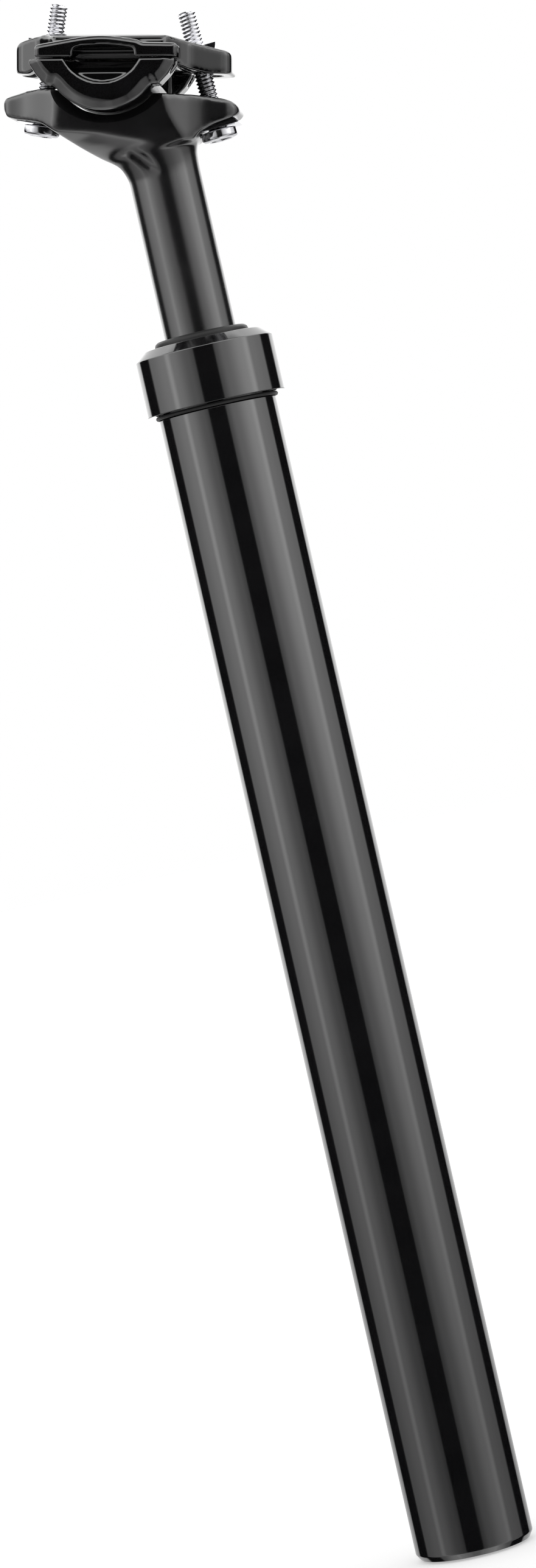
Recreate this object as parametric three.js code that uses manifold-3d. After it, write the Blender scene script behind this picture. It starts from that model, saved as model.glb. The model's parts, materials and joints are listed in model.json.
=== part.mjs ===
// Telescopic suspension seatpost, 31.6 mm, with a two-bolt rocking saddle clamp.
// Millimetres. +Z runs up the post, +X points to the front of the bicycle, and the origin is on
// the post's axis at the tube's bottom end.
import * as THREE from "three";
import { mergeVertices } from "three/addons/utils/BufferGeometryUtils.js";
import Module from "manifold-3d";

const wasm = await Module();
wasm.setup();

// ---------------------------------------------------------------- driving dimensions
const GAP = 0.3; // between pieces that touch
const ROUND = 40; // facets round a large circle
const SMALL = 24; // facets round a small circle

// outer tube
const TUBE_R = 15.8;
const TUBE_WALL = 2.4;
const BORE_R = TUBE_R - TUBE_WALL;
const TUBE_SHOULDER_Z = 308;
const NECK_STEP = 0.6; // the neck under the collar is turned down this much
const NECK_R = TUBE_R - NECK_STEP;
const NECK_LENGTH = 9;
const TUBE_CHAMFER = { radial: 1.06, high: 1.7 };

// collar, its seal ring and the wiper
const RING = { r: TUBE_R + 0.7, high: 1 };
const COLLAR_PROUD = 2.7; // over the tube
const COLLAR_R = TUBE_R + COLLAR_PROUD;
const COLLAR_WALL_HIGH = 14.8;
const COLLAR_CHAMFER = { radial: 2.7, high: 2.3 };
const COLLAR_LIP = 2.2;

// shaft and its guides
const SHAFT_R = 9.55;
const SHAFT_WALL = 3.25;
const SHAFT_BORE_R = SHAFT_R - SHAFT_WALL;
const SHAFT_STEP = 1.35; // the end that carries the piston is this much smaller
const SHAFT_STEP_R = SHAFT_R - SHAFT_STEP;
const RUNNING = 0.2; // radial running clearance on the shaft
const WIPER_WALL = 2.85;
const WIPER = { r: SHAFT_R + RUNNING + WIPER_WALL, topIn: 0.7, proud: 1.8, chamfer: 1.2 };
const UPPER_BUSH_LENGTH = 31.3;
const BUSH_FLANGE = 2.8;
const BUMPER_LENGTH = 6.5;
const PISTON_LENGTH = 32.6;
const KEY = { count: 3, wide: 4, long: 12, deep: 2.7, proud: 0.6, angle: 30 };
const GROOVE_LENGTH = 130;

// end of the shaft
const END_WASHER = { r: BORE_R - 0.9, thick: 2 };
const END_SCREW_R = SHAFT_BORE_R - GAP;
const END_SCREW = { headR: END_SCREW_R + 2.6, headHigh: 3.7, long: 18, hex: 8, hexDeep: 3 };

// spring column
const WIRE_R = 1.9;
const SPRING_PLAY = 2; // between the coils and the tube's bore
const SPRING_R = BORE_R - SPRING_PLAY - WIRE_R; // mean radius of the coils
const SPRING_INNER_R = SPRING_R - WIRE_R;
const SPRING_COILS = 18;
const SPRING_STEPS = 9; // sections a coil
const SPRING_SIDES = 6;
const GUIDE = {
  r: BORE_R - 1,
  body: 9.2,
  spigotR: SPRING_INNER_R - 0.9,
  spigot: 16,
  throughR: 3,
  recessHigh: 8.2,
};
const SEAT = { thick: 10, spigot: 18 };
const ELASTOMER_R = SPRING_INNER_R - 1.4;
const PLUG = { inset: 6, long: 18, hex: 8, hexDeep: 10 };

// saddle clamp: the barrel's centre, and how far the rails slope down to the front
const HEAD_RISE = 95.7; // of the barrel's centre over the tube's shoulder, the post fully out
const CLAMP_CENTRE = { x: -6.45, z: TUBE_SHOULDER_Z + HEAD_RISE };
const RAIL_SLOPE = THREE.MathUtils.degToRad(12.8);
const BARREL_R = 15.4;
const RAIL_R = 3.6;
const RAIL_Y = 22; // half the rail spacing
const RAIL_Z = -2; // rail centre below the barrel's centre
const JAW_GAP = 0.4;
const CLAMP_HALF_WIDTH = 27.5;
const LIP_INNER_Y = 23.5;
const SCOOP = { r: 11, z: 2.7 };
const CRADLE_HALF = 19;
const CORE_HALF = 13.2;
const POCKET = { halfX: 8.5, halfY: 12, floor: -10.5 };
const EAR_HALF_WIDTH = 9.5;
const UPPER_REAR = -25;
const UPPER_FRONT = 31.9;

// head forging
const SADDLE_HALF_WIDTH = 15.5;
const JAW_INNER_Y = SADDLE_HALF_WIDTH + 2;
const SADDLE_CHAMFER = 2.8;
const HEAD_EAR_HALF_WIDTH = 9;
const HEAD_REAR = -28.2;
const HEAD_FRONT = 34.2;
const HEAD_CLEARANCE = 0.6; // round a bolt head
const HEAD_REACH = 12; // room below a bolt's seat for its head and the key

// clamp bolts; seat is where the bolt head's top lies, nut where the nut's centre lies
const BOLT = { r: 2.5, long: 32.2, headR: 4.85, headHigh: 2.65, hex: 5, hexDeep: 1.9, tip: 0.6 };
const WASHER = { r: 7.3, flat: 3.75, halfLength: 6, boreR: BOLT.r + 0.4 };
const NUT = { r: 6, flat: 1.2, halfLength: 7, boreR: BOLT.r + 0.45 };
const EAR_HOLE_R = BOLT.r + 0.8;
const UPPER_SLOT = { long: 2 * BOLT.r + 6, wide: 2 * BOLT.r + 1.6 };
const BOLTS = [
  { name: "rear", seat: [-18.91, -17.66], nut: [-15.53, 5.39], slot: -18.2 },
  { name: "front", seat: [27.8, -19.02], nut: [21.65, 3.25], slot: 23.4 },
];

// ---------------------------------------------------------------- places worked out from them
const COLLAR_Z = TUBE_SHOULDER_Z + RING.high + GAP;
const COLLAR_EDGE_Z = COLLAR_Z + COLLAR_WALL_HIGH;
const COLLAR_TOP_Z = COLLAR_EDGE_Z + COLLAR_CHAMFER.high;
const NECK_TOP_Z = TUBE_SHOULDER_Z + NECK_LENGTH;
const BUSH_FLANGE_Z = NECK_TOP_Z + GAP;
const LIP_Z = BUSH_FLANGE_Z + BUSH_FLANGE + GAP;
const WIPER_Z = LIP_Z + COLLAR_LIP + GAP;
const UPPER_BUSH_Z = BUSH_FLANGE_Z - UPPER_BUSH_LENGTH;
const BUMPER_Z = UPPER_BUSH_Z - GAP - BUMPER_LENGTH;
const PISTON_TOP_Z = BUMPER_Z - GAP;
const PISTON_Z = PISTON_TOP_Z - PISTON_LENGTH;
const GUIDE_R = BORE_R - GAP;
const WASHER_Z = PISTON_Z - GAP - END_WASHER.thick;
const GUIDE_TOP_Z = WASHER_Z - GAP;
const SCREW_HEAD_Z = GUIDE_TOP_Z - END_SCREW.headHigh;
const GUIDE_SEAT_Z = GUIDE_TOP_Z - GUIDE.recessHigh - GUIDE.body;
const SEAT_Z = PLUG.inset + PLUG.long + GAP;
const SPRING_Z = SEAT_Z + SEAT.thick + GAP;
const SPRING_TOP_Z = GUIDE_SEAT_Z - GAP;
const ELASTOMER_Z = SEAT_Z + SEAT.thick + SEAT.spigot + GAP;
const ELASTOMER_TOP_Z = GUIDE_SEAT_Z - GUIDE.spigot - GAP;
const UPPER_JAW_Z = RAIL_Z + JAW_GAP / 2;
const LOWER_JAW_Z = RAIL_Z - JAW_GAP / 2;
const NECK_BLEND_Z = CLAMP_CENTRE.z - 32.5;

// ---------------------------------------------------------------- helpers
const finish = (color, roughness, metalness) =>
  new THREE.MeshStandardMaterial({ color, roughness, metalness });
const BLACK_ANODISED = finish(0x15161a, 0.22, 0.9);
const SATIN_BLACK = finish(0x24262a, 0.45, 0.8);
const CHROME = finish(0xd8dadd, 0.12, 1);
const SPRING_STEEL = finish(0x8c9096, 0.35, 1);
const BLACK_RUBBER = finish(0x111112, 0.8, 0);
const NYLON = finish(0xd9d6cc, 0.55, 0);
const BRASS = finish(0xb8913f, 0.35, 1);
const AMBER_ELASTOMER = finish(0xc98a3a, 0.6, 0);

const part = new THREE.Group();
const clamp = new THREE.Group();
clamp.position.set(CLAMP_CENTRE.x, 0, CLAMP_CENTRE.z);
clamp.rotation.y = RAIL_SLOPE;
part.add(clamp);

function addMesh(group, name, geometry, material) {
  const mesh = new THREE.Mesh(geometry, material);
  mesh.name = name;
  group.add(mesh);
  return mesh;
}

// A closed geometry as a solid that can be joined and cut, and back again.
function solid(geometry) {
  const bare = geometry.index ? geometry.toNonIndexed() : geometry.clone();
  for (const name of Object.keys(bare.attributes)) if (name !== "position") bare.deleteAttribute(name);
  const merged = mergeVertices(bare, 1e-4);
  return new wasm.Manifold(
    new wasm.Mesh({
      numProp: 3,
      vertProperties: new Float32Array(merged.attributes.position.array),
      triVerts: new Uint32Array(merged.index.array),
    }),
  );
}

function geometryOf(body) {
  const mesh = body.getMesh();
  const geometry = new THREE.BufferGeometry();
  geometry.setAttribute("position", new THREE.BufferAttribute(mesh.vertProperties, 3));
  geometry.setIndex(new THREE.BufferAttribute(mesh.triVerts, 1));
  return geometry;
}

const joined = (first, ...rest) => rest.reduce((sum, next) => sum.add(next), first);
const cut = (first, ...rest) => rest.reduce((left, tool) => left.subtract(tool), first);

// A body turned round the Z axis from [radius, z] points that run anticlockwise with r to the right.
function turned(points, facets = ROUND) {
  const closed = points[0][0] > 0 ? [...points, points[0]] : points;
  const profile = closed.map(([r, z]) => new THREE.Vector2(r, z));
  return new THREE.LatheGeometry(profile, facets).rotateX(Math.PI / 2);
}

function ring(outer, inner, low, high, facets = ROUND) {
  return turned([[inner, low], [outer, low], [outer, high], [inner, high]], facets);
}

function rod(r, low, high, facets = SMALL) {
  return turned([[0, low], [r, low], [r, high], [0, high]], facets);
}

// An outline of [x, z] points pushed out along Y from low to high.
function plateXZ(points, low, high) {
  const shape = new THREE.Shape(points.map(([x, z]) => new THREE.Vector2(x, z)));
  const geometry = new THREE.ExtrudeGeometry(shape, { depth: high - low, bevelEnabled: false });
  return geometry.rotateX(Math.PI / 2).translate(0, high, 0);
}

// An outline of [x, y] points pushed up along Z from low to high.
function plateXY(points, low, high) {
  const shape = new THREE.Shape(points.map(([x, y]) => new THREE.Vector2(x, y)));
  return new THREE.ExtrudeGeometry(shape, { depth: high - low, bevelEnabled: false }).translate(0, 0, low);
}

// An outline of [y, z] points pushed along X from low to high.
function plateYZ(points, low, high) {
  const shape = new THREE.Shape(points.map(([y, z]) => new THREE.Vector2(y, z)));
  const geometry = new THREE.ExtrudeGeometry(shape, { depth: high - low, bevelEnabled: false });
  return geometry.rotateZ(Math.PI / 2).rotateY(Math.PI / 2).translate(low, 0, 0);
}

function box(low, high) {
  const [x, y, z] = low.map((value, i) => high[i] - value);
  const middle = low.map((value, i) => (value + high[i]) / 2);
  return new THREE.BoxGeometry(x, y, z).translate(...middle);
}

// Points of an arc round centre, from one angle to the other in degrees, anticlockwise from +X.
function arc([x, z], r, from, to, steps) {
  return Array.from({ length: steps + 1 }, (_, i) => {
    const angle = THREE.MathUtils.degToRad(from + ((to - from) * i) / steps);
    return [x + r * Math.cos(angle), z + r * Math.sin(angle)];
  });
}

// A smooth run of points through the given ones.
function smooth(points, steps) {
  const curve = new THREE.SplineCurve(points.map(([x, z]) => new THREE.Vector2(x, z)));
  return curve.getPoints(steps).map((p) => [p.x, p.y]);
}

// A round bar along Y, centred on the given [x, z].
function crossBar([x, z], r, half, facets = SMALL) {
  return rod(r, -half, half, facets).rotateX(Math.PI / 2).translate(x, 0, z);
}

function hexPrism(acrossFlats, low, high) {
  return rod(acrossFlats / Math.sqrt(3), low, high, 6);
}

// ---------------------------------------------------------------- outer tube and its fittings
function outerTube() {
  const body = turned([
    [BORE_R, 0],
    [TUBE_R - TUBE_CHAMFER.radial, 0],
    [TUBE_R, TUBE_CHAMFER.high],
    [TUBE_R, TUBE_SHOULDER_Z],
    [NECK_R, TUBE_SHOULDER_Z],
    [NECK_R, NECK_TOP_Z],
    [BORE_R, NECK_TOP_Z],
  ]);
  const wide = KEY.wide / 2 + GAP;
  const reach = BORE_R + KEY.proud + GAP;
  const low = NECK_TOP_Z - GROOVE_LENGTH;
  const grooves = keyAngles().map((angle) =>
    solid(box([0, -wide, low], [reach, wide, NECK_TOP_Z + 1]).rotateZ(angle)),
  );
  return geometryOf(cut(solid(body), ...grooves));
}

function keyAngles() {
  return Array.from({ length: KEY.count }, (_, i) =>
    THREE.MathUtils.degToRad(KEY.angle + (360 * i) / KEY.count),
  );
}

function topCollar() {
  const neck = NECK_R + GAP;
  return turned([
    [neck, COLLAR_Z],
    [COLLAR_R, COLLAR_Z],
    [COLLAR_R, COLLAR_EDGE_Z],
    [COLLAR_R - COLLAR_CHAMFER.radial, COLLAR_TOP_Z],
    [WIPER.r + GAP, COLLAR_TOP_Z],
    [WIPER.r + GAP, WIPER_Z - GAP],
    [SHAFT_R + 0.5, WIPER_Z - GAP],
    [SHAFT_R + 0.5, LIP_Z],
    [neck, LIP_Z],
  ]);
}

function dustWiper() {
  const inner = SHAFT_R + RUNNING;
  const top = COLLAR_TOP_Z + WIPER.proud;
  return turned([
    [inner + 0.5, WIPER_Z],
    [WIPER.r, WIPER_Z],
    [WIPER.r, top - WIPER.chamfer],
    [WIPER.r - WIPER.topIn, top],
    [inner + 0.6, top],
    [inner, top - 0.9],
    [inner, top - 2],
    [inner + 0.5, top - 2.6],
  ]);
}

function upperGuideBush() {
  const flangeR = NECK_R;
  return turned([
    [SHAFT_R + RUNNING, UPPER_BUSH_Z],
    [GUIDE_R, UPPER_BUSH_Z],
    [GUIDE_R, BUSH_FLANGE_Z],
    [flangeR, BUSH_FLANGE_Z],
    [flangeR, BUSH_FLANGE_Z + BUSH_FLANGE],
    [SHAFT_R + RUNNING, BUSH_FLANGE_Z + BUSH_FLANGE],
  ]);
}

addMesh(part, "outer_tube", outerTube(), BLACK_ANODISED);
addMesh(part, "top_collar", topCollar(), BLACK_ANODISED);
const ringLow = TUBE_SHOULDER_Z + GAP / 2;
const sealRing = ring(RING.r, NECK_R + GAP, ringLow, ringLow + RING.high);
addMesh(part, "collar_seal_ring", sealRing, BLACK_RUBBER);
addMesh(part, "dust_wiper", dustWiper(), BLACK_RUBBER);
addMesh(part, "upper_guide_bush", upperGuideBush(), NYLON);

// ---------------------------------------------------------------- what slides on the shaft's end
function piston() {
  const body = solid(ring(GUIDE_R, SHAFT_STEP_R + GAP, PISTON_Z, PISTON_TOP_Z));
  const middle = (PISTON_Z + PISTON_TOP_Z) / 2;
  const wide = KEY.wide / 2 + GAP;
  const long = KEY.long / 2 + GAP;
  const floor = BORE_R + KEY.proud - KEY.deep - GAP;
  const pockets = keyAngles().map((angle) =>
    solid(box([floor, -wide, middle - long], [BORE_R + 1, wide, middle + long]).rotateZ(angle)),
  );
  return geometryOf(cut(body, ...pockets));
}

function guideKey(angle) {
  const middle = (PISTON_Z + PISTON_TOP_Z) / 2;
  const reach = BORE_R + KEY.proud;
  const round = KEY.wide / 2;
  const straight = KEY.long / 2 - round;
  const outline = [...arc([0, straight], round, 0, 180, 8), ...arc([0, -straight], round, 180, 360, 8)];
  return plateYZ(outline, reach - KEY.deep, reach).translate(0, 0, middle).rotateZ(angle);
}

function endScrew() {
  const head = rod(END_SCREW.headR, SCREW_HEAD_Z, GUIDE_TOP_Z);
  const shank = rod(END_SCREW_R, GUIDE_TOP_Z - 0.1, GUIDE_TOP_Z + END_SCREW.long);
  const socket = hexPrism(END_SCREW.hex, SCREW_HEAD_Z - 1, SCREW_HEAD_Z + END_SCREW.hexDeep);
  return geometryOf(cut(joined(solid(head), solid(shank)), solid(socket)));
}

function upperSpringGuide() {
  const recessZ = GUIDE_TOP_Z - GUIDE.recessHigh;
  const bottom = GUIDE_SEAT_Z - GUIDE.spigot;
  return turned([
    [GUIDE.throughR, bottom],
    [GUIDE.spigotR - 0.8, bottom],
    [GUIDE.spigotR, bottom + 0.8],
    [GUIDE.spigotR, GUIDE_SEAT_Z],
    [GUIDE.r, GUIDE_SEAT_Z],
    [GUIDE.r, GUIDE_TOP_Z],
    [END_SCREW.headR + GAP, GUIDE_TOP_Z],
    [END_SCREW.headR + GAP, recessZ],
    [GUIDE.throughR, recessZ],
  ]);
}

addMesh(part, "lower_guide_piston", piston(), NYLON);
keyAngles().forEach((angle, i) =>
  addMesh(part, "anti_rotation_key_" + (i + 1), guideKey(angle), BRASS),
);
const bumper = ring(GUIDE.r, SHAFT_R + RUNNING, BUMPER_Z, BUMPER_Z + BUMPER_LENGTH, SMALL);
addMesh(part, "top_out_bumper", bumper, AMBER_ELASTOMER);
const washerTop = WASHER_Z + END_WASHER.thick;
const endWasher = ring(END_WASHER.r, END_SCREW_R + GAP, WASHER_Z, washerTop, SMALL);
addMesh(part, "shaft_end_washer", endWasher, SPRING_STEEL);
addMesh(part, "shaft_end_screw", endScrew(), CHROME);
addMesh(part, "upper_spring_guide", upperSpringGuide(), NYLON);

// ---------------------------------------------------------------- spring column
// The wire is a ring of sections joined side to side, with a flat cap at each end.
function coilSpring() {
  const low = SPRING_Z + WIRE_R;
  const high = SPRING_TOP_Z - WIRE_R;
  const sections = SPRING_COILS * SPRING_STEPS;
  const positions = [];
  for (let i = 0; i <= sections; i++) {
    const turn = (2 * Math.PI * i) / SPRING_STEPS;
    const z = low + ((high - low) * i) / sections;
    for (let side = 0; side < SPRING_SIDES; side++) {
      const around = (2 * Math.PI * side) / SPRING_SIDES;
      const r = SPRING_R + WIRE_R * Math.cos(around);
      positions.push(r * Math.cos(turn), r * Math.sin(turn), z + WIRE_R * Math.sin(around));
    }
  }
  const index = [];
  for (let i = 0; i < sections; i++) {
    for (let side = 0; side < SPRING_SIDES; side++) {
      const next = (side + 1) % SPRING_SIDES;
      const a = i * SPRING_SIDES + side;
      const b = i * SPRING_SIDES + next;
      index.push(a, a + SPRING_SIDES, b, b, a + SPRING_SIDES, b + SPRING_SIDES);
    }
  }
  const last = sections * SPRING_SIDES;
  for (let side = 1; side < SPRING_SIDES - 1; side++) {
    index.push(0, side, side + 1);
    index.push(last, last + side + 1, last + side);
  }
  const geometry = new THREE.BufferGeometry();
  geometry.setAttribute("position", new THREE.Float32BufferAttribute(positions, 3));
  geometry.setIndex(index);
  return geometry;
}

function lowerSpringSeat() {
  const face = SEAT_Z + SEAT.thick;
  return turned([
    [GUIDE.throughR, SEAT_Z],
    [GUIDE.r, SEAT_Z],
    [GUIDE.r, face],
    [GUIDE.spigotR, face],
    [GUIDE.spigotR, face + SEAT.spigot - 0.8],
    [GUIDE.spigotR - 0.8, face + SEAT.spigot],
    [GUIDE.throughR, face + SEAT.spigot],
  ]);
}

function preloadPlug() {
  const top = PLUG.inset + PLUG.long;
  const body = turned([
    [0, PLUG.inset],
    [GUIDE_R - 0.8, PLUG.inset],
    [GUIDE_R, PLUG.inset + 0.8],
    [GUIDE_R, top],
    [0, top],
  ]);
  const socket = hexPrism(PLUG.hex, PLUG.inset - 1, PLUG.inset + PLUG.hexDeep);
  return geometryOf(cut(solid(body), solid(socket)));
}

addMesh(part, "main_spring", coilSpring(), SPRING_STEEL);
addMesh(part, "elastomer_core", rod(ELASTOMER_R, ELASTOMER_Z, ELASTOMER_TOP_Z), AMBER_ELASTOMER);
addMesh(part, "lower_spring_seat", lowerSpringSeat(), NYLON);
addMesh(part, "preload_plug", preloadPlug(), BLACK_ANODISED);

// ---------------------------------------------------------------- saddle clamp, in its own frame
// Origin on the barrel's axis, +X along the rails to the front, +Z square to the rails.

// A bolt's frame: origin at the bolt head's top face, +Z up the bolt.
function boltLean({ seat, nut }) {
  return Math.atan2(nut[0] - seat[0], nut[1] - seat[1]);
}

function alongBolt(bolt, geometry) {
  return geometry.rotateY(boltLean(bolt)).translate(bolt.seat[0], 0, bolt.seat[1]);
}

// Both jaws have this channel for the saddle's rails.
function railChannels() {
  return [-RAIL_Y, RAIL_Y].map((y) => {
    const bar = rod(RAIL_R, -CRADLE_HALF - 2, CRADLE_HALF + 2, 20).rotateY(Math.PI / 2);
    return solid(bar.translate(0, y, RAIL_Z));
  });
}

function lowerCradle() {
  const wing = [
    [-CRADLE_HALF, LOWER_JAW_Z],
    [-CRADLE_HALF, LOWER_JAW_Z - 1.4],
    [-CRADLE_HALF + 1.8, LOWER_JAW_Z - 4],
    [-CRADLE_HALF + 4.4, LOWER_JAW_Z - 6.6],
  ];
  const foot = 35.6; // degrees below level where the wings run into the barrel
  const outline = [
    ...wing,
    ...arc([0, 0], BARREL_R, 180 + foot, 360 - foot, 22),
    ...wing.map(([x, z]) => [-x, z]).reverse(),
  ];
  const jaws = [-1, 1].map((side) => {
    const [a, b] = [side * JAW_INNER_Y, side * CLAMP_HALF_WIDTH];
    return solid(plateXZ(outline, Math.min(a, b), Math.max(a, b)));
  });
  const edge = THREE.MathUtils.radToDeg(Math.acos(CORE_HALF / BARREL_R));
  const coreOutline = [
    [-CORE_HALF, LOWER_JAW_Z],
    ...arc([0, 0], BARREL_R, 180 + edge, 360 - edge, 22),
    [CORE_HALF, LOWER_JAW_Z],
  ];
  const coreBody = solid(plateXZ(coreOutline, -JAW_INNER_Y - 0.5, JAW_INNER_Y + 0.5));
  const { halfX, halfY, floor } = POCKET;
  const pocket = solid(box([-halfX, -halfY, floor], [halfX, halfY, 0]));
  const scoops = lipCuts((low, high) => crossBarBetween([0, SCOOP.z], SCOOP.r, low, high));
  return geometryOf(cut(joined(coreBody, ...jaws), ...railChannels(), pocket, ...scoops));
}

function crossBarBetween(centre, r, low, high) {
  return crossBar(centre, r, (high - low) / 2, 32).translate(0, (low + high) / 2, 0);
}

// The same cut through the outer lip on both sides.
function lipCuts(make) {
  return [
    solid(make(-CLAMP_HALF_WIDTH - 1, -LIP_INNER_Y)),
    solid(make(LIP_INNER_Y, CLAMP_HALF_WIDTH + 1)),
  ];
}

function upperClamp() {
  const front = CRADLE_HALF + 0.6;
  const rear = -CRADLE_HALF + 1.6;
  const jawOutline = [
    [rear, UPPER_JAW_Z],
    [front, UPPER_JAW_Z],
    [front, UPPER_JAW_Z + 3.1],
    [front - 0.6, UPPER_JAW_Z + 3.5],
    [10.5, UPPER_JAW_Z + 3.7],
    ...smooth([[9, 2.7], [2, 3.6], [-4, 3.5], [-9.4, 2.7]], 6),
    [rear + 1, UPPER_JAW_Z + 3.3],
    [rear, UPPER_JAW_Z + 2.6],
  ];
  const spine = [
    [UPPER_REAR, -4.3],
    [UPPER_REAR + 3.6, -4.6],
    [-19.3, -3.6],
    [-17.2, UPPER_JAW_Z],
    [15.5, UPPER_JAW_Z],
    [21, -3.7],
    [25.5, -4.8],
    [UPPER_FRONT, -4.8],
    [UPPER_FRONT, 0.4],
    ...smooth([[31, 1.1], [24, 2.7], [16, 4.6], [8, 6], [-3, 6.5], [-12, 6], [-19, 5], [-23.6, 3.8]], 14),
    [UPPER_REAR, 2.6],
  ];
  const half = EAR_HALF_WIDTH;
  const waist = JAW_INNER_Y + 0.5;
  const round = 3.5;
  const plan = [
    ...arc([UPPER_FRONT - round, -half + round], round, 270, 360, 5),
    ...arc([UPPER_FRONT - round, half - round], round, 0, 90, 5),
    [front, half],
    [front - 3, waist],
    [rear + 3, waist],
    [rear, half],
    ...arc([UPPER_REAR + round, half - round], round, 90, 180, 5),
    ...arc([UPPER_REAR + round, -half + round], round, 180, 270, 5),
    [rear, -half],
    [rear + 3, -waist],
    [front - 3, -waist],
    [front, -half],
  ];
  const slope = [[waist, -8], [waist, 3.5], [half, 5.7], [2.5, 6.6]];
  const crown = [...slope, ...slope.map(([y, z]) => [-y, z]).reverse()];
  const middle = solid(plateXZ(spine, -waist, waist))
    .intersect(solid(plateXY(plan, -10, 10)))
    .intersect(solid(plateYZ(crown, -40, 40)));
  const jaws = [
    solid(plateXZ(jawOutline, -CLAMP_HALF_WIDTH, -JAW_INNER_Y)),
    solid(plateXZ(jawOutline, JAW_INNER_Y, CLAMP_HALF_WIDTH)),
  ];
  const arch = smooth([[-7.6, -3], [-7.2, 0.4], [-4, 1], [0, 1.1], [5, 0.9], [8.2, 0.2], [8.6, -3]], 12);
  const arches = lipCuts((low, high) => plateXZ(arch, low, high));
  const slots = BOLTS.map(({ slot }) => {
    const r = UPPER_SLOT.wide / 2;
    const straight = UPPER_SLOT.long / 2 - r;
    const outline = [...arc([slot + straight, 0], r, -90, 90, 8), ...arc([slot - straight, 0], r, 90, 270, 8)];
    return solid(plateXY(outline, -10, 12));
  });
  const troughs = BOLTS.map(({ nut }) => solid(nutPocket(nut)));
  return geometryOf(cut(joined(middle, ...jaws), ...railChannels(), ...arches, ...slots, ...troughs));
}

// The half-round seat that a nut turns in, open to the top.
function nutPocket([x, z]) {
  const r = NUT.r + GAP;
  const outline = [...arc([x, z], r, 180, 360, 12), [x + r, z + 8], [x - r, z + 8]];
  return plateXZ(outline, -NUT.halfLength - GAP, NUT.halfLength + GAP);
}

addMesh(clamp, "lower_cradle", lowerCradle(), BLACK_ANODISED);
addMesh(clamp, "upper_clamp", upperClamp(), BLACK_ANODISED);

// ---------------------------------------------------------------- bolts, nuts and washers
function clampBolt(bolt) {
  const { r, long, headR, headHigh, hex, hexDeep, tip } = BOLT;
  const body = turned(
    [
      [0, -headHigh],
      [headR - 0.6, -headHigh],
      [headR, -headHigh + 0.6],
      [headR, 0],
      [r, 0],
      [r, long - tip],
      [r - tip, long],
      [0, long],
    ],
    SMALL,
  );
  const socket = hexPrism(hex, -headHigh - 1, -headHigh + hexDeep);
  return alongBolt(bolt, geometryOf(cut(solid(body), solid(socket))));
}

// The part of a round bar along Y that lies above a flat, in the bolt's frame.
function halfRound(centreZ, r, flatZ, half) {
  const edge = THREE.MathUtils.radToDeg(Math.asin((flatZ - centreZ) / r));
  return plateXZ(arc([0, centreZ], r, edge, 180 - edge, 12), -half, half);
}

// Half-round on top, flat where the bolt head bears.
function washer(bolt) {
  const body = solid(halfRound(-WASHER.flat, WASHER.r, GAP, WASHER.halfLength));
  return alongBolt(bolt, geometryOf(cut(body, solid(rod(WASHER.boreR, -2, 6)))));
}

// Half-round below and flat on top, square to the bolt.
function barrelNut(bolt) {
  const height = Math.hypot(bolt.nut[0] - bolt.seat[0], bolt.nut[1] - bolt.seat[1]);
  const upright = halfRound(0, NUT.r, NUT.flat, NUT.halfLength);
  const body = solid(upright.rotateX(Math.PI).translate(0, 0, height));
  const bore = solid(rod(NUT.boreR, height - NUT.r - 1, height + NUT.r));
  return alongBolt(bolt, geometryOf(cut(body, bore)));
}

for (const bolt of BOLTS) {
  addMesh(clamp, bolt.name + "_bolt", clampBolt(bolt), CHROME);
  addMesh(clamp, bolt.name + "_bolt_washer", washer(bolt), CHROME);
  addMesh(clamp, bolt.name + "_barrel_nut", barrelNut(bolt), CHROME);
}

// ---------------------------------------------------------------- head forged in one with the shaft
// A point of the clamp's frame as [x, z] in the post's frame.
function toPost([x, z]) {
  const [c, s] = [Math.cos(RAIL_SLOPE), Math.sin(RAIL_SLOPE)];
  return [CLAMP_CENTRE.x + x * c + z * s, CLAMP_CENTRE.z - x * s + z * c];
}

function clampPlaced(geometry) {
  return geometry.rotateY(RAIL_SLOPE).translate(CLAMP_CENTRE.x, 0, CLAMP_CENTRE.z);
}

function headSideOutline() {
  const rearEar = [
    [HEAD_REAR + 1, -15.7],
    [HEAD_REAR, -13.6],
    [HEAD_REAR + 0.2, -11.2],
    [HEAD_REAR + 1.4, -10.5],
    [-21.6, -9.1],
    [-17, -8.6],
    [-12.6, -9.3],
  ].map(toPost);
  const frontEar = [
    [12.6, -10.2],
    [22, -10.3],
    [HEAD_FRONT - 5.4, -11.1],
    [HEAD_FRONT - 2.4, -11.8],
    [HEAD_FRONT - 0.7, -13],
    [HEAD_FRONT, -14.5],
    [HEAD_FRONT - 1, -15.7],
  ].map(toPost);
  const rearUnder = smooth(
    [
      ...[[-24.4, -16.4], [-20.8, -16.9], [-17.6, -17.7], [-14.5, -19.6]].map(toPost),
      [-19.7, CLAMP_CENTRE.z - 21.1],
      [-15.3, CLAMP_CENTRE.z - 25],
      [-10.9, CLAMP_CENTRE.z - 28.6],
      [-SHAFT_R, NECK_BLEND_Z],
    ],
    18,
  );
  const frontUnder = smooth(
    [
      [SHAFT_R, NECK_BLEND_Z],
      [SHAFT_R + 0.4, CLAMP_CENTRE.z - 28],
      [SHAFT_R + 1.5, CLAMP_CENTRE.z - 25.8],
      ...[[24.2, -19.6], [27.6, -17.8], [31, -16.5]].map(toPost),
    ],
    12,
  );
  return [...frontUnder, ...frontEar.reverse(), ...rearEar.reverse(), ...rearUnder];
}

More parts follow.
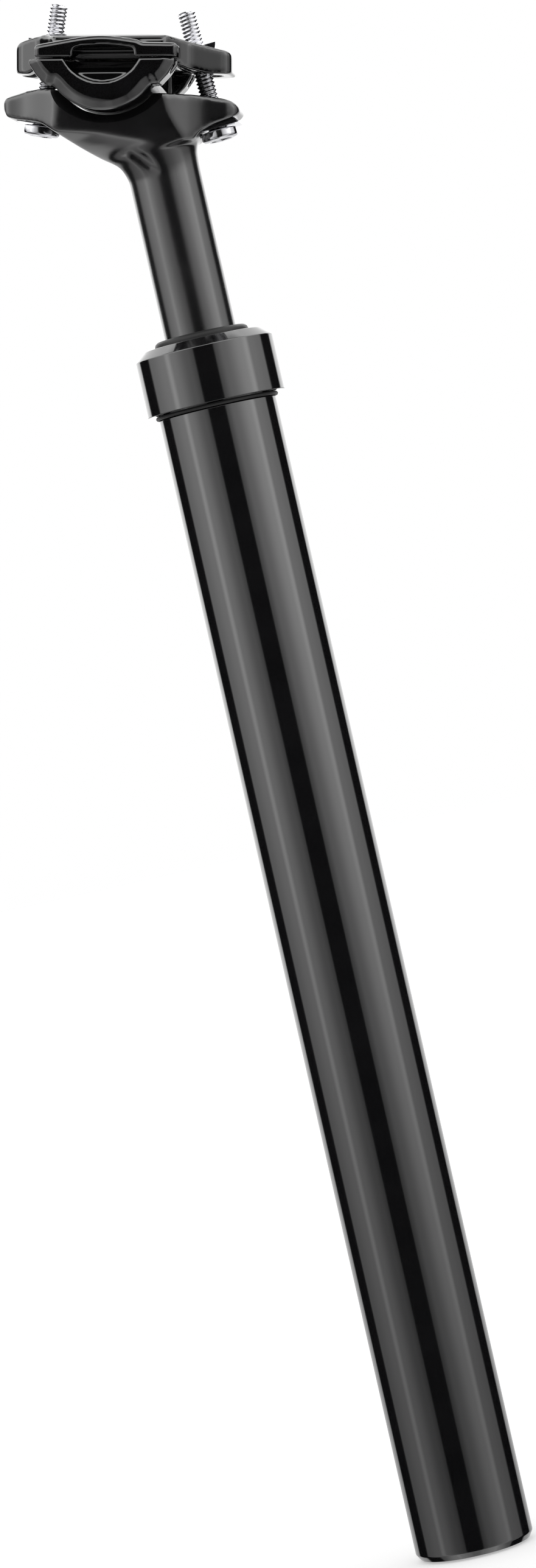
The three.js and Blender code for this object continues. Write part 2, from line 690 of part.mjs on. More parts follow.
function headFrontOutline() {
  const neck = smooth(
    [
      [SHAFT_R, NECK_BLEND_Z - 1],
      [SHAFT_R + 0.6, NECK_BLEND_Z + 3],
      [SADDLE_HALF_WIDTH - 3, NECK_BLEND_Z + 9],
      [SADDLE_HALF_WIDTH, NECK_BLEND_Z + 13.5],
      [SADDLE_HALF_WIDTH, NECK_BLEND_Z + 18],
    ],
    10,
  );
  const top = [SADDLE_HALF_WIDTH, CLAMP_CENTRE.z];
  return [...neck, top, [-top[0], top[1]], ...neck.map(([y, z]) => [-y, z]).reverse()];
}

// Seen square to the rails: narrow ears in front and behind, the wide saddle between them.
function headPlanOutline() {
  const ear = HEAD_EAR_HALF_WIDTH;
  const wide = SADDLE_HALF_WIDTH + 1;
  const round = 4;
  const half = [
    ...arc([HEAD_FRONT - round, ear - round], round, 0, 90, 5),
    [21, ear],
    [17.5, SADDLE_HALF_WIDTH - 3],
    [15, wide],
    [-15.5, wide],
    [-18, SADDLE_HALF_WIDTH - 3],
    [-20, ear],
    ...arc([HEAD_REAR + 2, ear - 2], 2, 90, 180, 3),
  ];
  return [...half, ...half.map(([x, y]) => [x, -y]).reverse()];
}

// The chamfer round each end of the saddle's bearing.
function saddleChamfer(side) {
  const bearing = BARREL_R + GAP;
  const cone = turned([
    [0, 0],
    [bearing, 0],
    [bearing + SADDLE_CHAMFER + 0.5, SADDLE_CHAMFER + 0.5],
    [0, SADDLE_CHAMFER + 0.5],
  ]);
  const start = SADDLE_HALF_WIDTH - SADDLE_CHAMFER;
  return clampPlaced(cone.rotateX(side * -Math.PI / 2).translate(0, side * start, 0));
}

function headAndShaft() {
  const side = solid(plateXZ(headSideOutline(), -SADDLE_HALF_WIDTH - 1, SADDLE_HALF_WIDTH + 1));
  const front = solid(plateYZ(headFrontOutline(), -60, 60));
  const plan = solid(clampPlaced(plateXY(headPlanOutline(), -45, 10)));
  const shaft = solid(
    turned([
      [0, PISTON_Z],
      [SHAFT_STEP_R, PISTON_Z],
      [SHAFT_STEP_R, PISTON_TOP_Z + GAP],
      [SHAFT_R, PISTON_TOP_Z + GAP],
      [SHAFT_R, NECK_BLEND_Z + 3],
      [0, NECK_BLEND_Z + 3],
    ]),
  );
  const bore = solid(
    turned([
      [0, PISTON_Z - 1],
      [SHAFT_BORE_R, PISTON_Z - 1],
      [SHAFT_BORE_R, NECK_BLEND_Z - 12],
      [0, NECK_BLEND_Z - 8],
    ], SMALL),
  );
  const bearing = solid(clampPlaced(crossBar([0, 0], BARREL_R + GAP, SADDLE_HALF_WIDTH + 2, 48)));
  const holes = BOLTS.map((bolt) => solid(clampPlaced(alongBolt(bolt, rod(EAR_HOLE_R, -8, 20)))));
  const seats = BOLTS.map((bolt) => {
    const seat = halfRound(-WASHER.flat, WASHER.r + GAP, 0, WASHER.halfLength + GAP);
    return solid(clampPlaced(alongBolt(bolt, seat)));
  });
  const spotFaces = BOLTS.map((bolt) => {
    const clearance = rod(BOLT.headR + HEAD_CLEARANCE, -HEAD_REACH, GAP);
    return solid(clampPlaced(alongBolt(bolt, clearance)));
  });
  const chamfers = [-1, 1].map((end) => solid(saddleChamfer(end)));
  const head = joined(side.intersect(front).intersect(plan), shaft);
  return geometryOf(cut(head, bore, bearing, ...chamfers, ...holes, ...seats, ...spotFaces));
}

addMesh(part, "head_and_shaft", headAndShaft(), SATIN_BLACK);

export default part;
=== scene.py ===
"""Telescopic suspension seatpost with a two-bolt rocking saddle clamp.

Metres, +Z up the post, +X to the front of the bicycle, origin at the bottom end of the outer tube.
Outlines below are written in millimetres and scaled as they are drawn.
"""

import json
import math

import bpy
from mathutils import Matrix, Vector


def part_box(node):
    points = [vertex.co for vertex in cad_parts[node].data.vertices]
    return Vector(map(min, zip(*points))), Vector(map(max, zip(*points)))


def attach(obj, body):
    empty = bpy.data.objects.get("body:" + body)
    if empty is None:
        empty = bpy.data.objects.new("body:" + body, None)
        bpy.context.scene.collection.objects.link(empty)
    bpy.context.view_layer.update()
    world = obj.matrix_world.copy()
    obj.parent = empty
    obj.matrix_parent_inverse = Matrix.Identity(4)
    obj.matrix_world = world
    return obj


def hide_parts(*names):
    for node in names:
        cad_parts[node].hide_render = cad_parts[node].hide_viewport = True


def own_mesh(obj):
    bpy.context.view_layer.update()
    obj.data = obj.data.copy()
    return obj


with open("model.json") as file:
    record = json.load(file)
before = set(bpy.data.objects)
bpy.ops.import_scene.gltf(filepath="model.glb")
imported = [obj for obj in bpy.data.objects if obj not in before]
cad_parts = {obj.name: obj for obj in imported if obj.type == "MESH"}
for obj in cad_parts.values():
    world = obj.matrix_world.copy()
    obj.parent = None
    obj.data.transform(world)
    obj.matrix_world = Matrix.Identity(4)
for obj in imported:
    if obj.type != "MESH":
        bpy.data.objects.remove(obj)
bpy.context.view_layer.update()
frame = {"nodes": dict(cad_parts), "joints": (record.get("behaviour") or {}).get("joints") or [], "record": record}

MM = 0.001
JOINTS = {joint["name"]: joint for joint in frame["joints"]}
CLAMP_CENTRE = Vector(JOINTS["saddle_tilt"]["pos_m"])
RAIL_SLOPE = math.radians(12.8)
SHAFT_R = 9.55

# ------------------------------------------------------------------ bench tools


def only(piece):
    """Leaves this piece alone selected and active."""
    bpy.ops.object.select_all(action="DESELECT")
    piece.select_set(True)
    bpy.context.view_layer.objects.active = piece


def edit(piece):
    only(piece)
    bpy.ops.object.mode_set(mode="EDIT")


def leave_edit():
    bpy.ops.object.mode_set(mode="OBJECT")


def settle():
    """Writes the place of the selected piece into its mesh."""
    bpy.ops.object.transform_apply(location=True, rotation=True, scale=True)


def apply(piece, kind, **settings):
    """Adds one modifier with its settings and applies it."""
    only(piece)
    modifier = piece.modifiers.new(kind.lower(), kind)
    for name, value in settings.items():
        setattr(modifier, name, value)
    bpy.ops.object.modifier_apply(modifier=modifier.name)


def wire(name, points, place, closed):
    """A chain of edges through the points, drawn by extruding one vertex."""
    bpy.ops.object.select_all(action="DESELECT")
    bpy.ops.mesh.primitive_plane_add(size=MM, location=(0, 0, 0))
    piece = bpy.context.object
    piece.name = name
    piece.data.name = name
    bpy.ops.object.mode_set(mode="EDIT")
    bpy.ops.mesh.select_all(action="SELECT")
    bpy.ops.mesh.merge(type="CENTER")
    run = [*points, points[0]] if closed else points
    spots = [Vector(place(*point)) * MM for point in run]
    bpy.ops.transform.translate(value=spots[0])
    for here, there in zip(spots, spots[1:]):
        bpy.ops.mesh.extrude_region_move(TRANSFORM_OT_translate={"value": there - here})
    return piece


def tidy_mesh():
    """Merges doubles and turns the faces of the piece being edited outwards."""
    bpy.ops.mesh.select_all(action="SELECT")
    bpy.ops.mesh.remove_doubles(threshold=1e-6)
    bpy.ops.mesh.normals_make_consistent(inside=False)


def turned(name, profile, steps=128, edge=0.0):
    """A body spun round Z from [radius, height] points, with its corners rounded."""
    piece = wire(name, profile, lambda r, z: (r, 0, z), closed=profile[0][0] > 0)
    bpy.ops.mesh.select_all(action="SELECT")
    bpy.ops.mesh.spin(steps=steps, angle=2 * math.pi, center=(0, 0, 0), axis=(0, 0, 1))
    tidy_mesh()
    leave_edit()
    if edge:
        round_edges(piece, edge, 28)
    return piece


def smooth_by_angle(piece, degrees):
    only(piece)
    bpy.ops.object.shade_smooth_by_angle(angle=math.radians(degrees))


def round_edges(piece, width, degrees):
    """Rounds the edges sharper than this many degrees, and keeps the flats beside them flat."""
    limit = math.radians(degrees)
    apply(piece, "BEVEL", width=width * MM, segments=3, limit_method="ANGLE", angle_limit=limit)
    smooth_by_angle(piece, 32)
    apply(piece, "WEIGHTED_NORMAL", keep_sharp=True, weight=80)


def plate(name, outline, low, high, place=None):
    """A flat outline filled and extruded: [x, z] along Y unless another placing is given."""
    along = place or (lambda u, v, depth: (u, depth, v))
    piece = wire(name, outline, lambda u, v: along(u, v, low), closed=False)
    bpy.ops.mesh.select_all(action="SELECT")
    bpy.ops.mesh.edge_face_add()
    push = Vector(along(0, 0, high - low)) * MM
    bpy.ops.mesh.extrude_region_move(TRANSFORM_OT_translate={"value": push})
    tidy_mesh()
    leave_edit()
    return piece


def level_plate(name, outline, low, high):
    return plate(name, outline, low, high, lambda u, v, depth: (u, v, depth))


def cross_plate(name, outline, low, high):
    return plate(name, outline, low, high, lambda u, v, depth: (depth, u, v))


def bar(name, radius, length, centre, turn=(0, 0, 0), sides=64):
    bpy.ops.object.select_all(action="DESELECT")
    bpy.ops.mesh.primitive_cylinder_add(
        vertices=sides,
        radius=radius * MM,
        depth=length * MM,
        location=Vector(centre) * MM,
        rotation=turn,
    )
    piece = bpy.context.object
    piece.name = name
    settle()
    return piece


ALONG_X = (0, math.pi / 2, 0)
ALONG_Y = (math.pi / 2, 0, 0)


def block(name, low, high):
    bpy.ops.object.select_all(action="DESELECT")
    middle = [(a + b) / 2 * MM for a, b in zip(low, high)]
    bpy.ops.mesh.primitive_cube_add(size=1, location=middle)
    piece = bpy.context.object
    piece.name = name
    piece.scale = [(b - a) * MM for a, b in zip(low, high)]
    settle()
    return piece


def work(piece, tools, operation):
    """Cuts, joins or intersects with each tool in turn, and throws the tools away."""
    for tool in tools:
        apply(piece, "BOOLEAN", operation=operation, object=tool, solver="EXACT")
        bpy.data.objects.remove(tool)
    return piece


def cut(piece, *tools):
    return work(piece, tools, "DIFFERENCE")


def joined(piece, *tools):
    return work(piece, tools, "UNION")


def kept(piece, *tools):
    return work(piece, tools, "INTERSECT")


def soften(piece, grain, passes):
    """Remeshes evenly at this grain and smooths, so that edges and corners melt into each other."""
    apply(piece, "REMESH", mode="VOXEL", voxel_size=grain * MM)
    apply(piece, "SMOOTH", factor=0.5, iterations=passes)


def placed(piece, turn_y, spot):
    """Leans a piece about Y and moves it to its spot, in metres."""
    only(piece)
    piece.rotation_euler = (0, turn_y, 0)
    piece.location = spot
    settle()
    return piece


def on_clamp(piece):
    return placed(piece, RAIL_SLOPE, CLAMP_CENTRE)


def arc(centre, radius, start, end, steps):
    """Points of an arc, angles in degrees anticlockwise from the first axis."""
    turns = [math.radians(start + (end - start) * i / steps) for i in range(steps + 1)]
    return [(centre[0] + radius * math.cos(t), centre[1] + radius * math.sin(t)) for t in turns]


def spline(before, start, end, after, t):
    """One coordinate of a Catmull-Rom curve, from start at t = 0 to end at t = 1."""
    square = 2 * before - 5 * start + 4 * end - after
    cube = 3 * start - before - 3 * end + after
    return 0.5 * (2 * start + (end - before) * t + square * t**2 + cube * t**3)


def curve_through(points, steps):
    """A smooth run of points through the given ones, in this many steps from each to the next."""
    guide = [points[0], *points, points[-1]]
    run = []
    for around in zip(guide, guide[1:], guide[2:], guide[3:]):
        for i in range(steps):
            run.append(tuple(spline(*values, i / steps) for values in zip(*around)))
    return [*run, points[-1]]


def to_post(point):
    """A point of the clamp's frame as [x, z] in the post's frame, in millimetres."""
    c, s = math.cos(RAIL_SLOPE), math.sin(RAIL_SLOPE)
    x, z = CLAMP_CENTRE.x / MM, CLAMP_CENTRE.z / MM
    return (x + point[0] * c + point[1] * s, z - point[0] * s + point[1] * c)


# ------------------------------------------------------------------ finishes

NOISE_LOW, NOISE_HIGH = 0.3, 0.7  # a noise texture seldom goes past these
SPECK_CONTRAST = 6.0
SPECK_ROUGHNESS = 0.25
COAT_ROUGHNESS = 0.06


def shader_group(name, inputs, outputs):
    """An empty effect with named inputs [(name, value)] and outputs [(name, kind)]."""
    group = bpy.data.node_groups.new(name, "ShaderNodeTree")
    for label, value in inputs:
        socket = group.interface.new_socket(label, in_out="INPUT", socket_type="NodeSocketFloat")
        socket.default_value = value
    for label, kind in outputs:
        group.interface.new_socket(label, in_out="OUTPUT", socket_type=kind)
    return group, group.nodes.new("NodeGroupInput"), group.nodes.new("NodeGroupOutput")


def node(tree, kind, **settings):
    made = tree.nodes.new(kind)
    for name, value in settings.items():
        setattr(made, name, value)
    return made


def maths(tree, operation, a, b=None, c=None):
    """A Math node fed by sockets or numbers."""
    made = node(tree, "ShaderNodeMath", operation=operation)
    for socket, value in zip(made.inputs, (a, b, c)):
        if value is None:
            continue
        if isinstance(value, (int, float)):
            socket.default_value = value
        else:
            tree.links.new(value, socket)
    return made.outputs[0]


def noise(tree, vector, scale, detail=3.0, rough=0.55):
    made = node(tree, "ShaderNodeTexNoise")
    made.inputs["Detail"].default_value = detail
    made.inputs["Roughness"].default_value = rough
    tree.links.new(vector, made.inputs["Vector"])
    if isinstance(scale, (int, float)):
        made.inputs["Scale"].default_value = scale
    else:
        tree.links.new(scale, made.inputs["Scale"])
    return made.outputs["Fac"]


def stretched(tree, scale):
    """Object coordinates scaled differently along each axis."""
    coords = node(tree, "ShaderNodeTexCoord")
    mapping = node(tree, "ShaderNodeMapping")
    mapping.inputs["Scale"].default_value = scale
    tree.links.new(coords.outputs["Object"], mapping.inputs["Vector"])
    return mapping.outputs["Vector"]


def turning_lines_effect():
    """Fine lines left round a turned part, strongest in bands, from height along the axis alone."""
    group, given, result = shader_group(
        "turning lines",
        [("Lines per metre", 2600.0), ("Banding", 60.0)],
        [("Height", "NodeSocketFloat"), ("Mask", "NodeSocketFloat")],
    )
    along = stretched(group, (0.02, 0.02, 1.0))
    fine = noise(group, along, given.outputs["Lines per metre"], 2.0)
    bands = noise(group, along, given.outputs["Banding"], 2.0)
    group.links.new(maths(group, "MULTIPLY", fine, bands), result.inputs["Height"])
    group.links.new(bands, result.inputs["Mask"])
    return group


def surface_grain_effect():
    """Small even grain with slow waves, for shot, forged and moulded surfaces."""
    group, given, result = shader_group(
        "surface grain",
        [("Grain scale", 3000.0), ("Wave scale", 160.0), ("Waves", 0.3)],
        [("Height", "NodeSocketFloat"), ("Patches", "NodeSocketFloat")],
    )
    coords = stretched(group, (1.0, 1.0, 1.0))
    grain = noise(group, coords, given.outputs["Grain scale"], 3.0)
    waves = noise(group, coords, given.outputs["Wave scale"], 2.0)
    mixed = maths(group, "ADD", grain, maths(group, "MULTIPLY", waves, given.outputs["Waves"]))
    group.links.new(mixed, result.inputs["Height"])
    group.links.new(waves, result.inputs["Patches"])
    return group


def handling_effect():
    """Faint smears and rubbed spots that change the roughness, and specks of dust."""
    group, given, result = shader_group(
        "handling marks",
        [("Smear scale", 45.0), ("Speck scale", 900.0), ("Speck share", 0.22)],
        [("Smears", "NodeSocketFloat"), ("Specks", "NodeSocketFloat")],
    )
    smear = noise(group, stretched(group, (1.0, 1.0, 0.35)), given.outputs["Smear scale"], 4.0, 0.6)
    specks = noise(group, stretched(group, (1.0, 1.0, 1.0)), given.outputs["Speck scale"], 1.0)
    share = maths(group, "SUBTRACT", given.outputs["Speck share"], specks)
    sharp = maths(group, "MULTIPLY", maths(group, "MAXIMUM", share, 0.0), SPECK_CONTRAST)
    group.links.new(smear, result.inputs["Smears"])
    group.links.new(sharp, result.inputs["Specks"])
    return group


TURNING_LINES = turning_lines_effect()
SURFACE_GRAIN = surface_grain_effect()
HANDLING = handling_effect()


def placed_group(tree, group, **values):
    made = node(tree, "ShaderNodeGroup", node_tree=group)
    for label, value in values.items():
        made.inputs[label.replace("_", " ")].default_value = value
    return made


def between(tree, factor, low, high):
    """Maps a noise value onto a range."""
    made = node(tree, "ShaderNodeMapRange")
    made.inputs["From Min"].default_value = NOISE_LOW
    made.inputs["From Max"].default_value = NOISE_HIGH
    made.inputs["To Min"].default_value = low
    made.inputs["To Max"].default_value = high
    tree.links.new(factor, made.inputs["Value"])
    return made.outputs["Result"]


def finish_of(
    name, colour, other, rough, metallic, effect, height, distance, ior=1.5, coat=0.0, smear=0.03, **values
):
    """Colour drifting between two tones, roughness with smears, and relief from one effect."""
    material = bpy.data.materials.new(name)
    material.use_nodes = True
    tree = material.node_tree
    shader = tree.nodes["Principled BSDF"]
    shader.inputs["Metallic"].default_value = metallic
    shader.inputs["IOR"].default_value = ior
    shader.inputs["Coat Weight"].default_value = coat
    shader.inputs["Coat Roughness"].default_value = COAT_ROUGHNESS
    relief = placed_group(tree, effect, **values)
    marks = placed_group(tree, HANDLING)
    blend = node(tree, "ShaderNodeMix", data_type="RGBA")
    blend.inputs["A"].default_value = (*colour, 1)
    blend.inputs["B"].default_value = (*other, 1)
    tree.links.new(between(tree, relief.outputs[1], 0.0, 1.0), blend.inputs["Factor"])
    tree.links.new(blend.outputs["Result"], shader.inputs["Base Color"])
    wear = between(tree, marks.outputs["Smears"], rough - smear, rough + smear)
    specks = maths(tree, "MULTIPLY", marks.outputs["Specks"], SPECK_ROUGHNESS)
    worn = maths(tree, "ADD", wear, specks)
    tree.links.new(worn, shader.inputs["Roughness"])
    bump = node(tree, "ShaderNodeBump")
    bump.inputs["Strength"].default_value = height
    bump.inputs["Distance"].default_value = distance * MM
    tree.links.new(relief.outputs["Height"], bump.inputs["Height"])
    tree.links.new(bump.outputs["Normal"], shader.inputs["Normal"])
    return material


GLOSS_BLACK = finish_of(
    "gloss black anodised",
    (0.004, 0.004, 0.0045), (0.007, 0.007, 0.0075),
    0.07, 0.0, TURNING_LINES, 0.06, 0.01,
    ior=2.1, smear=0.02,
)
POLISHED_BLACK = finish_of(
    "polished black anodised",
    (0.003, 0.003, 0.003), (0.005, 0.005, 0.0055),
    0.07, 0.0, SURFACE_GRAIN, 0.05, 0.01,
    ior=2.1, Grain_scale=900.0,
)
SATIN_BLACK = finish_of(
    "satin black anodised forging",
    (0.005, 0.005, 0.0055), (0.009, 0.009, 0.0095),
    0.2, 0.0, SURFACE_GRAIN, 0.16, 0.02,
    ior=2.1, smear=0.05,
)
BRIGHT_STEEL = finish_of(
    "bright plated steel",
    (0.74, 0.74, 0.76), (0.62, 0.62, 0.65),
    0.12, 1.0, SURFACE_GRAIN, 0.08, 0.01,
    Grain_scale=1500.0,
)
SPRING_STEEL = finish_of(
    "oiled spring steel",
    (0.36, 0.36, 0.37), (0.26, 0.26, 0.28),
    0.3, 1.0, SURFACE_GRAIN, 0.2, 0.02,
    smear=0.06,
)
SEAL_RUBBER = finish_of(
    "seal rubber",
    (0.012, 0.012, 0.012), (0.02, 0.02, 0.02),
    0.5, 0.0, SURFACE_GRAIN, 0.3, 0.03,
    smear=0.08,
)
GUIDE_NYLON = finish_of(
    "natural nylon",
    (0.66, 0.63, 0.56), (0.58, 0.55, 0.48),
    0.42, 0.0, TURNING_LINES, 0.25, 0.03,
    smear=0.06,
)
KEY_BRASS = finish_of(
    "machined brass",
    (0.62, 0.43, 0.16), (0.5, 0.34, 0.12),
    0.25, 1.0, TURNING_LINES, 0.3, 0.02,
    smear=0.06,
)
ELASTOMER = finish_of(
    "cast elastomer",
    (0.5, 0.2, 0.035), (0.38, 0.14, 0.025),
    0.4, 0.0, SURFACE_GRAIN, 0.35, 0.05,
    coat=0.1, smear=0.05,
)
BLACK_PLUG = finish_of(
    "turned black plug",
    (0.02, 0.02, 0.021), (0.03, 0.03, 0.031),
    0.35, 0.0, TURNING_LINES, 0.3, 0.02,
    smear=0.05,
)

SLOTS = {
    "gloss_black_anodised": GLOSS_BLACK,
    "polished_black_alloy": POLISHED_BLACK,
    "satin_black_alloy": SATIN_BLACK,
    "bright_steel": BRIGHT_STEEL,
    "spring_steel": SPRING_STEEL,
    "black_rubber": SEAL_RUBBER,
    "guide_nylon": GUIDE_NYLON,
    "key_brass": KEY_BRASS,
    "amber_elastomer": ELASTOMER,
}
SLOT_OF = {entry["node"]: entry["material_slot"] for entry in frame["record"]["subparts"]}


def wear_finish(piece, material):
    piece.data.materials.clear()
    piece.data.materials.append(material)


def fitted(piece, node_name, body):
    """The finished piece stands for its frame node, in that node's finish, and moves with its body."""
    piece.name = node_name + "_made"
    piece.data.name = piece.name
    slot = SLOT_OF[node_name]
    wear_finish(piece, SLOTS[slot])
    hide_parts(node_name)
    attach(piece, body)
    return piece


for node_name, carried in frame["nodes"].items():
    wear_finish(carried, SLOTS[SLOT_OF[node_name]])

# ------------------------------------------------------------------ tube, collar and seals


def heights(node_name):
    """Lowest and highest height of a frame node, in millimetres."""
    low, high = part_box(node_name)
    return low[2] / MM, high[2] / MM


GAP = 0.3
TUBE_R = 15.8
BORE_R = 13.4
NECK_LONG = 9
COLLAR_R = 18.5
COLLAR_CHAMFER = (2.7, 2.3)  # inwards and down
WIPER_POCKET_R = 12.9
RING_R = 16.5


def make_outer_tube():
    bottom, top = heights("outer_tube")
    shoulder = top - NECK_LONG
    profile = [
        (BORE_R, bottom),
        (TUBE_R - 1.06, bottom),
        (TUBE_R, bottom + 1.7),
        (TUBE_R, shoulder),
        (TUBE_R - 0.6, shoulder),
        (TUBE_R - 0.6, top),
        (BORE_R, top),
    ]
    tube = turned("outer tube", profile, 160, edge=0.25)
    fitted(tube, "outer_tube", "tube")


def make_collar():
    bottom, top = heights("top_collar")
    chamfer_in, chamfer_down = COLLAR_CHAMFER
    pocket = heights("dust_wiper")[0] - GAP
    flange_top = heights("upper_guide_bush")[1] + GAP
    profile = [
        (TUBE_R - 0.3, bottom),
        (COLLAR_R, bottom),
        (COLLAR_R, top - chamfer_down),
        (COLLAR_R - chamfer_in, top),
        (WIPER_POCKET_R, top),
        (WIPER_POCKET_R, pocket),
        (SHAFT_R + 0.5, pocket),
        (SHAFT_R + 0.5, flange_top),
        (TUBE_R - 0.3, flange_top),
    ]
    collar = turned("top collar", profile, 160, edge=0.2)
    fitted(collar, "top_collar", "tube")


def make_seal_ring():
    bottom, top = heights("collar_seal_ring")
    profile = [
        (TUBE_R - 0.3, bottom),
        (RING_R - 0.3, bottom),
        (RING_R, (bottom + top) / 2),
        (RING_R - 0.3, top),
        (TUBE_R - 0.3, top),
    ]
    fitted(turned("collar seal ring", profile, 128, edge=0.15), "collar_seal_ring", "tube")


def make_wiper():
    bottom, top = heights("dust_wiper")
    inner = SHAFT_R + 0.2
    outer = WIPER_POCKET_R - GAP
    profile = [
        (inner + 0.5, bottom),
        (outer, bottom),
        (outer, top - 1.3),
        (outer - 0.25, top - 0.5),
        (11.7, top),
        (inner + 0.7, top),
        (inner, top - 0.8),
        (inner, top - 2),
        (inner + 0.5, top - 2.6),
    ]
    fitted(turned("dust wiper", profile, 128, edge=0.18), "dust_wiper", "tube")


make_outer_tube()
make_collar()
make_seal_ring()
make_wiper()

# ------------------------------------------------------------------ head forged in one with the shaft

BARREL_R = 15.4
SADDLE_HALF = 15.5
HEAD_REAR = -28.2
HEAD_FRONT = 34.2
HOLLOW_PLACE = (9.4, -28.4)
HOLLOW_OUT = 12.3
HOLLOW_SIZE = (2.6, 3.4, 8.2)
HOLLOW_LEAN = math.radians(-44)
BOLT_NAMES = ("rear", "front")
BOLT_HOLE_R = 3.3
SPOT_FACE_R = 5.45
WASHER_R = 7.3
WASHER_CENTRE = -3.75  # along the bolt from its seat
WASHER_HALF = 6
SHAFT_BORE_R = 6.3
SPIGOT_R = 8.2
JOINT_BELOW = 58  # from the clamp's centre down to where head and plain shaft meet


def bolt_frame(end):
    """Where a bolt's head bears, and how far the bolt leans forward."""
    joint = JOINTS[end + "_bolt_turn"]
    return Vector(joint["pos_m"]), math.atan2(joint["axis"][0], joint["axis"][2])


def on_bolt(piece, end):
    spot, lean = bolt_frame(end)
    return placed(piece, lean, spot)


def head_side_plate(half):
    centre_z = CLAMP_CENTRE.z / MM
    rear_ear = [
        (-27.2, -15.7),
        (-28.2, -13.6),
        (-28.0, -11.2),
        (-26.8, -10.5),
        (-21.6, -9.1),
        (-17, -8.6),
        (-12.6, -9.3),
    ]
    front_ear = [
        (12.6, -10.2),
        (22, -10.3),
        (28.8, -11.1),
        (31.8, -11.8),
        (33.5, -13),
        (34.2, -14.5),
        (33.2, -15.7),
    ]
    rear_under = curve_through(
        [
            *map(to_post, [(-24.4, -16.4), (-20.8, -16.9), (-17.6, -17.7), (-14.5, -19.6)]),
            (-19.7, centre_z - 21.1),
            (-15.3, centre_z - 25),
            (-10.9, centre_z - 28.6),
            (-SHAFT_R, centre_z - 32.5),
        ],
        4,
    )
    front_under = curve_through(
        [
            (SHAFT_R, centre_z - 32.5),
            (SHAFT_R + 0.4, centre_z - 28),
            (SHAFT_R + 1.5, centre_z - 25.8),
            *map(to_post, [(24.2, -19.6), (27.6, -17.8), (31, -16.5)]),
        ],
        4,
    )
    ears = [*map(to_post, reversed(front_ear)), *map(to_post, reversed(rear_ear))]
    return plate("head side", [*front_under, *ears, *rear_under], -half, half)


def head_plan():
    """Seen square to the rails: ears that widen smoothly into the saddle between them."""
    wide = SADDLE_HALF + 0.6
    front = curve_through([(30.2, 9.3), (26, 9.5), (21.5, 10.8), (17.6, 13.6), (13.6, wide)], 4)
    rear = curve_through([(-12.5, wide), (-16.2, 13.9), (-19.6, 11.7), (-23, 9.9), (-26.2, 9)], 4)
    front_end = arc((HEAD_FRONT - 4, 5.2), 4, 0, 80, 5)
    rear_end = arc((HEAD_REAR + 2, 7), 2, 95, 180, 4)
    half = [*front_end, *front, *rear, *rear_end]
    return [*half, *((x, -y) for x, y in reversed(half))]


def head_front_plate():
    """Seen from the front: the round shaft opening out into the saddle."""
    z = CLAMP_CENTRE.z / MM
    guide = [
        (SHAFT_R, z - 38),
        (SHAFT_R + 0.2, z - 32),
        (11.7, z - 26),
        (13.7, z - 21.5),
        (15, z - 17),
        (SADDLE_HALF, z - 11.5),
    ]
    side = curve_through(guide, 4)
    outline = [*side, (SADDLE_HALF, z), (-SADDLE_HALF, z), *((-y, h) for y, h in reversed(side))]
    return cross_plate("head front", outline, -60, 60)


def flank_hollow(side):
    """An egg-shaped tool for the hollow between the neck's rib and the rear underside."""
    bpy.ops.object.select_all(action="DESELECT")
    bpy.ops.mesh.primitive_uv_sphere_add(segments=64, ring_count=32, radius=MM)
    tool = bpy.context.object
    tool.scale = HOLLOW_SIZE
    tool.rotation_euler = (0, HOLLOW_LEAN, 0)
    x, z = to_post(HOLLOW_PLACE)
    tool.location = Vector((x, side * HOLLOW_OUT, z)) * MM
    settle()
    return tool


def make_head():
    z = CLAMP_CENTRE.z / MM
    head = kept(
        head_side_plate(SADDLE_HALF + 1),
        neck_blend(),
        head_front_plate(),
        on_clamp(level_plate("head plan", head_plan(), -45, 10)),
    )
    shaft = turned("shaft", [(0, z - 60), (SHAFT_R, z - 60), (SHAFT_R, z - 24), (0, z - 24)], 96)
    joined(head, shaft)
    cut(head, flank_hollow(-1), flank_hollow(1))
    soften(head, 0.45, 20)
    cut(head, bearing_cutter())
    for end in BOLT_NAMES:
        seat = half_round("washer seat", WASHER_CENTRE, WASHER_R + GAP, 0, WASHER_HALF + GAP)
        cut(
            head,
            on_bolt(bar("bolt hole", BOLT_HOLE_R, 36, (0, 0, 12), sides=48), end),
            on_bolt(seat, end),
            on_bolt(bar("spot face", SPOT_FACE_R, 12, (0, 0, -6 + GAP), sides=64), end),
        )
    low_cut = z - JOINT_BELOW
    kept(head, block("above the joint", (-70, -40, low_cut), (70, 40, z + 20)))
    bottom, _ = heights("head_and_shaft")
    step_top = heights("lower_guide_piston")[1] + GAP
    profile = [
        (SHAFT_BORE_R, bottom),
        (SPIGOT_R, bottom),
        (SPIGOT_R, step_top),
        (SHAFT_R, step_top),
        (SHAFT_R, low_cut + 0.4),
        (0, low_cut + 0.4),
        (0, low_cut - 2),
        (SHAFT_BORE_R, low_cut - 6),
    ]
    joined(head, turned("shaft tail", profile, 96))
    smooth_by_angle(head, 38)
    fitted(head, "head_and_shaft", "shaft")


def bearing_cutter():
    """The barrel's bearing through the saddle, with the wide bevel round each end."""
    r = BARREL_R + GAP
    inner, outer, end = SADDLE_HALF - 2.8, SADDLE_HALF + 0.6, SADDLE_HALF + 6
    wide = r + outer - inner
    half = [(r, inner), (wide, outer), (wide, end), (0, end)]
    profile = [*((x, -y) for x, y in reversed(half)), *half]
    cutter = turned("bearing cutter", profile, 160)
    only(cutter)
    cutter.rotation_euler = ALONG_Y
    settle()
    return on_clamp(cutter)


